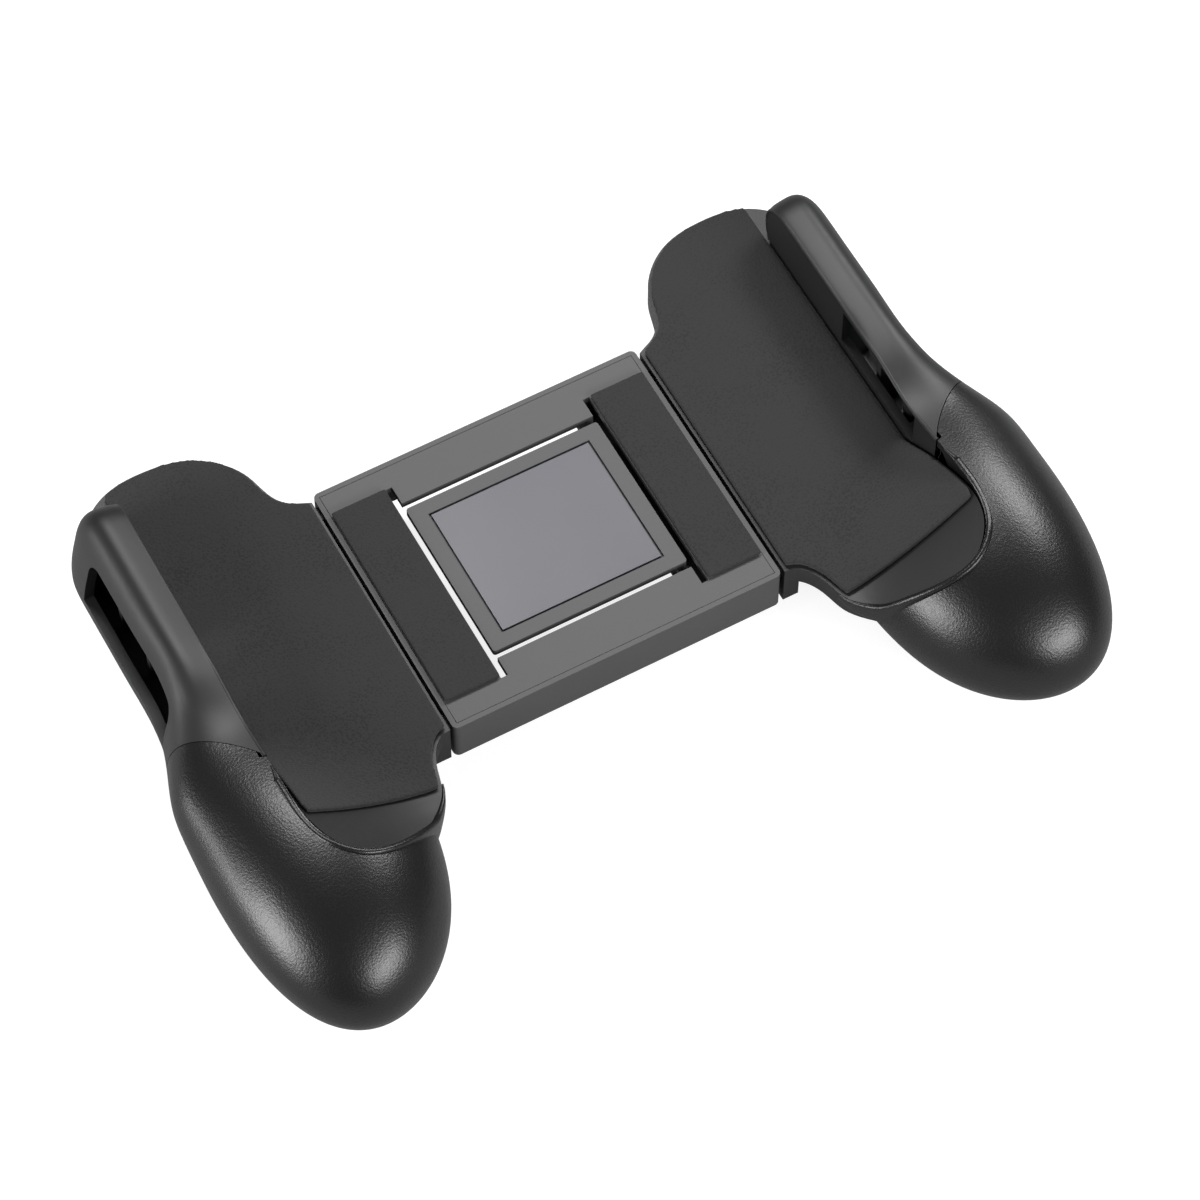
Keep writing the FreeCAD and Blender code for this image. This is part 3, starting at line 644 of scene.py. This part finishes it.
def edge_group():
    """Geometry group that sweeps a rounded bar along a line of points."""
    group = bpy.data.node_groups.new("swept_edge", "GeometryNodeTree")
    for label, way, kind in (
        ("Geometry", "INPUT", "NodeSocketGeometry"),
        ("Width", "INPUT", "NodeSocketFloat"),
        ("Height", "INPUT", "NodeSocketFloat"),
        ("Rounding", "INPUT", "NodeSocketFloat"),
        ("Spacing", "INPUT", "NodeSocketFloat"),
        ("Material", "INPUT", "NodeSocketMaterial"),
        ("Geometry", "OUTPUT", "NodeSocketGeometry"),
    ):
        group.interface.new_socket(name=label, in_out=way, socket_type=kind)
    nodes, link = group.nodes, group.links.new
    given, out = nodes.new("NodeGroupInput"), nodes.new("NodeGroupOutput")
    line = nodes.new("GeometryNodeMeshToCurve")
    link(given.outputs["Geometry"], line.inputs["Mesh"])
    even = nodes.new("GeometryNodeResampleCurve")
    even.mode = "LENGTH"
    link(line.outputs[0], even.inputs["Curve"])
    link(given.outputs["Spacing"], even.inputs["Length"])
    taper = nodes.new("GeometryNodeInputNamedAttribute")
    taper.data_type = "FLOAT"
    taper.inputs["Name"].default_value = "taper"
    level = nodes.new("GeometryNodeSetCurveNormal")
    level.mode = "Z_UP"
    link(even.outputs[0], level.inputs["Curve"])
    bar = nodes.new("GeometryNodeCurvePrimitiveQuadrilateral")
    link(given.outputs["Width"], bar.inputs["Width"])
    link(given.outputs["Height"], bar.inputs["Height"])
    eased = nodes.new("GeometryNodeFilletCurve")
    eased.mode = "POLY"
    eased.inputs["Count"].default_value = 5
    link(bar.outputs[0], eased.inputs["Curve"])
    link(given.outputs["Rounding"], eased.inputs["Radius"])
    swept = nodes.new("GeometryNodeCurveToMesh")
    swept.inputs["Fill Caps"].default_value = True
    link(level.outputs[0], swept.inputs["Curve"])
    link(eased.outputs[0], swept.inputs["Profile Curve"])
    link(taper.outputs["Attribute"], swept.inputs["Scale"])
    real = nodes.new("GeometryNodeRealizeInstances")
    link(swept.outputs[0], real.inputs[0])
    coloured = nodes.new("GeometryNodeSetMaterial")
    link(real.outputs[0], coloured.inputs["Geometry"])
    link(given.outputs["Material"], coloured.inputs["Material"])
    link(coloured.outputs[0], out.inputs["Geometry"])
    return group


def swept_edge(name, points, body, material, width, height, shares=None):
    """Rounded bar along points, as a plain mesh that rides on a body.

    The shares scale the bar's section at each point.
    """
    mesh = bpy.data.meshes.new(name)
    mesh.from_pydata(points, [(i, i + 1) for i in range(len(points) - 1)], [])
    taper = mesh.attributes.new("taper", "FLOAT", "POINT")
    taper.data.foreach_set("value", shares or [1.0] * len(points))
    piece = bpy.data.objects.new(name, mesh)
    bpy.context.scene.collection.objects.link(piece)
    group = bpy.data.node_groups["swept_edge"]
    sweep = piece.modifiers.new("sweep", "NODES")
    sweep.node_group = group
    values = {
        "Width": width,
        "Height": height,
        "Rounding": width * ROUNDING,
        "Spacing": sizes("grip_edges").spacing,
        "Material": bpy.data.materials[material],
    }
    for socket in group.interface.items_tree:
        if socket.in_out == "INPUT" and socket.name in values:
            sweep[socket.identifier] = values[socket.name]
    depsgraph = bpy.context.evaluated_depsgraph_get()
    made = bpy.data.meshes.new_from_object(piece.evaluated_get(depsgraph))
    piece.modifiers.clear()
    piece.data = made
    shape = bmesh.new()
    shape.from_mesh(made)
    bmesh.ops.remove_doubles(shape, verts=shape.verts, dist=WELD)
    bmesh.ops.recalc_face_normals(shape, faces=shape.faces)
    shape.to_mesh(made)
    shape.free()
    made.shade_smooth()
    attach(piece, body)
    return piece


def height_at(tree, place):
    """Height of a mesh's upper face under a place in plan, or None beside it."""
    above = Vector((place.x, place.y, CAD_BOX[1][2] + PROBE_START * MM))
    hit = tree.ray_cast(above, Vector((0.0, 0.0, -1.0)))[0]
    return hit.z if hit else None


def tray_line(side, sign):
    """Points along the tray's edge, from the rail round to the wing's root."""
    line = sharp_line(f"wing_frame_{side}", on_side(sign, TRAY_EDGE_PLACE))
    by_rail, by_root = FACE.y + RIM_BY_RAIL * MM, FACE.y + RIM_BY_ROOT * MM
    line = [p for p in line if p.y < by_rail and (abs(p.x) > ROOT_SIDE * MM or p.y < by_root)]
    line = resampled(line, RIM_STEP * MM)
    if line[0].y < line[-1].y:
        line.reverse()
    return line


def rim_line(side, sign):
    """Centre line of the rim round the tray and the bar's share at each point.

    The rim stands just outside the tray's edge, and above the handle's face where that is higher.
    """
    edges = sizes("grip_edges")
    tray = tray_line(side, sign)
    middle = sum(tray, Vector()) / len(tray)
    depsgraph = bpy.context.evaluated_depsgraph_get()
    shell = BVHTree.FromObject(NODES[f"handle_upper_{side}"], depsgraph)
    outs, heights, gaps = [], [], []
    for index, point in enumerate(tray):
        before, after = tray[max(index - 2, 0)], tray[min(index + 2, len(tray) - 1)]
        out = Vector((after.y - before.y, before.x - after.x, 0.0)).normalized()
        if out.dot(point - middle) < 0:
            out.negate()
        faces = [height_at(shell, point + out * step * MM) for step in PROBES]
        faces = [z for z in faces if z is not None and z < point.z + PROBE_ABOVE * MM]
        beside = any(z > point.z - PROBE_BELOW * MM for z in faces)
        outs.append(out)
        heights.append(max([point.z, *faces]))
        gaps.append(SEAM * MM if beside else 0.0)
    points, shares = [], []
    for index, row in enumerate(zip(tray, outs, evened(heights), evened(gaps))):
        point, out, height, gap = row
        left = len(tray) - 1 - index
        share = min(END_SHARE + index / RAIL_TAPER, END_SHARE + left / ROOT_TAPER, 1.0)
        place = point + out * (edges.rim_width / 2 + gap) * share
        top = min(height + edges.rim_proud * share, CAD_BOX[1][2] - TOP_MARGIN * MM)
        points.append(Vector((place.x, place.y, top - edges.rim_height * share / 2)))
        shares.append(share)
    return points, shares


def rail_line(side, sign):
    """Centre line of the bar that rounds the rail's inner edge."""
    line = sharp_line(f"rail_cover_{side}", on_side(sign, RAIL_EDGE_PLACE))
    x, y, z = RAIL_EDGE_SINK
    sunk = Vector((sign * x, y, z)) * MM
    line = [point + sunk for point in line if point.z > FACE.z + RAIL_EDGE_LOW * MM]
    return resampled(line, RAIL_EDGE_STEP * MM)


class GRIP_OT_edges(bpy.types.Operator):
    """Round the rails' inner edges and the rims of the trays"""

    bl_idname = "grip.edges"
    bl_label = "Rounded edges"

    def execute(self, context):
        edges = sizes("grip_edges")
        edge_group()
        for side, sign in zip(SIDES, (1, -1)):
            swept_edge(
                f"rail_edge_{side}",
                rail_line(side, sign),
                f"{side}_grip",
                "rail_satin",
                edges.rail_radius * 2,
                edges.rail_radius * 2,
            )
            rim, shares = rim_line(side, sign)
            swept_edge(
                f"tray_rim_{side}",
                rim,
                f"{side}_grip",
                "handle_leather_plastic",
                edges.rim_width,
                edges.rim_height,
                shares,
            )
        return {"FINISHED"}


def place_camera(scene, studio):
    """Camera on a sphere round the point that it aims at."""
    back = Vector(
        (
            math.sin(studio.azimuth) * math.cos(studio.elevation),
            -math.cos(studio.azimuth) * math.cos(studio.elevation),
            math.sin(studio.elevation),
        )
    )
    data = bpy.data.cameras.new("camera")
    data.lens = studio.lens
    data.sensor_width = 36.0
    data.clip_start = 0.01
    data.clip_end = 20.0
    camera = bpy.data.objects.new("camera", data)
    scene.collection.objects.link(camera)
    camera.location = on_side(1, CAMERA_AIM) + back * studio.distance
    camera.rotation_euler = (-back).to_track_quat("-Z", "Y").to_euler()
    scene.camera = camera


def seen_rays(tree):
    """One for rays that show the backdrop itself: from the camera or through something clear."""
    path = tree.nodes.new("ShaderNodeLightPath")
    camera, through = path.outputs["Is Camera Ray"], path.outputs["Is Transmission Ray"]
    return maths(tree, "MAXIMUM", camera, through)


def make_backdrop(scene, studio):
    """White surroundings that give only a little light."""
    world = bpy.data.worlds.new("backdrop")
    scene.world = world
    world.use_nodes = True
    tree = world.node_tree
    light = tree.nodes["Background"]
    light.inputs["Color"].default_value = WHITE
    light.inputs["Strength"].default_value = studio.room_light
    seen = tree.nodes.new("ShaderNodeBackground")
    seen.inputs["Color"].default_value = WHITE
    seen.inputs["Strength"].default_value = 1.0
    mix = tree.nodes.new("ShaderNodeMixShader")
    tree.links.new(seen_rays(tree), mix.inputs["Fac"])
    tree.links.new(light.outputs[0], mix.inputs[1])
    tree.links.new(seen.outputs[0], mix.inputs[2])
    tree.links.new(mix.outputs[0], tree.nodes["World Output"].inputs["Surface"])


def floor_material(studio):
    """Pale floor that takes the shadow and looks white to the camera."""
    material = bpy.data.materials.new("pale_floor")
    material.use_nodes = True
    tree = material.node_tree
    shader = tree.nodes["Principled BSDF"]
    shader.inputs["Base Color"].default_value = (*[studio.floor_grey] * 3, 1.0)
    shader.inputs["Roughness"].default_value = 0.9
    shader.inputs["Specular IOR Level"].default_value = 0.0
    glow = tree.nodes.new("ShaderNodeEmission")
    glow.inputs["Color"].default_value = WHITE
    strength = maths(tree, "MULTIPLY_ADD", seen_rays(tree), studio.floor_white, studio.floor_glow)
    tree.links.new(strength, glow.inputs["Strength"])
    both = tree.nodes.new("ShaderNodeAddShader")
    tree.links.new(shader.outputs[0], both.inputs[0])
    tree.links.new(glow.outputs[0], both.inputs[1])
    tree.links.new(both.outputs[0], tree.nodes["Material Output"].inputs["Surface"])
    return material


def softbox(name, place, size, power):
    """Rectangular lamp aimed at the middle of the grip."""
    data = bpy.data.lights.new(name, "AREA")
    data.shape = "RECTANGLE"
    data.size, data.size_y = size
    data.energy = power
    lamp = bpy.data.objects.new(name, data)
    bpy.context.scene.collection.objects.link(lamp)
    lamp.location = place
    lamp.rotation_euler = (LAMP_AIM - lamp.location).to_track_quat("-Z", "Y").to_euler()


class GRIP_OT_studio(bpy.types.Operator):
    """Set up the camera, the floor and the lamps"""

    bl_idname = "grip.studio"
    bl_label = "Studio"

    def execute(self, context):
        scene, studio = context.scene, sizes("grip_studio")
        scene.view_settings.view_transform = "Standard"
        place_camera(scene, studio)
        make_backdrop(scene, studio)
        level = CAD_BOX[0][2] - 0.2 * MM
        bpy.ops.mesh.primitive_plane_add(size=3.0, location=(0.0, 0.0, level))
        floor = context.object
        floor.name = "floor"
        floor.data.materials.append(floor_material(studio))
        for name, (place, size, power) in LAMPS.items():
            softbox(name, place, size, power)
        return {"FINISHED"}


class GRIP_PT_panel(bpy.types.Panel):
    """Sizes, colours and steps of the phone grip"""

    bl_idname = "GRIP_PT_panel"
    bl_label = "Phone grip"
    bl_space_type = "VIEW_3D"
    bl_region_type = "UI"
    bl_category = "Phone grip"

    def draw(self, context):
        layout = self.layout
        for name, kind in GROUPS.items():
            group = getattr(context.scene, name)
            box = layout.box()
            box.label(text=kind.__doc__)
            for prop in group.bl_rna.properties.keys():
                if prop not in ("rna_type", "name"):
                    box.prop(group, prop)
        for operator in OPERATORS:
            layout.operator(operator.bl_idname)


OPERATORS = (GRIP_OT_plastics, GRIP_OT_foam, GRIP_OT_edges, GRIP_OT_studio)
GROUPS = {
    "grip_foam": FoamSizes,
    "grip_edges": EdgeSizes,
    "grip_colours": PlasticColours,
    "grip_studio": StudioSettings,
}


def register():
    """Register the classes and hang the property groups on the scene."""
    for kind in (*GROUPS.values(), *OPERATORS, GRIP_PT_panel):
        bpy.utils.register_class(kind)
    for name, kind in GROUPS.items():
        setattr(bpy.types.Scene, name, bpy.props.PointerProperty(type=kind))


def unregister():
    """Undo register."""
    for name in GROUPS:
        delattr(bpy.types.Scene, name)
    for kind in reversed((*GROUPS.values(), *OPERATORS, GRIP_PT_panel)):
        bpy.utils.unregister_class(kind)


def main():
    """Build everything in order."""
    register()
    bpy.ops.grip.plastics()
    bpy.ops.grip.foam()
    bpy.ops.grip.edges()
    bpy.ops.grip.studio()


if __name__ == "__main__":
    main()
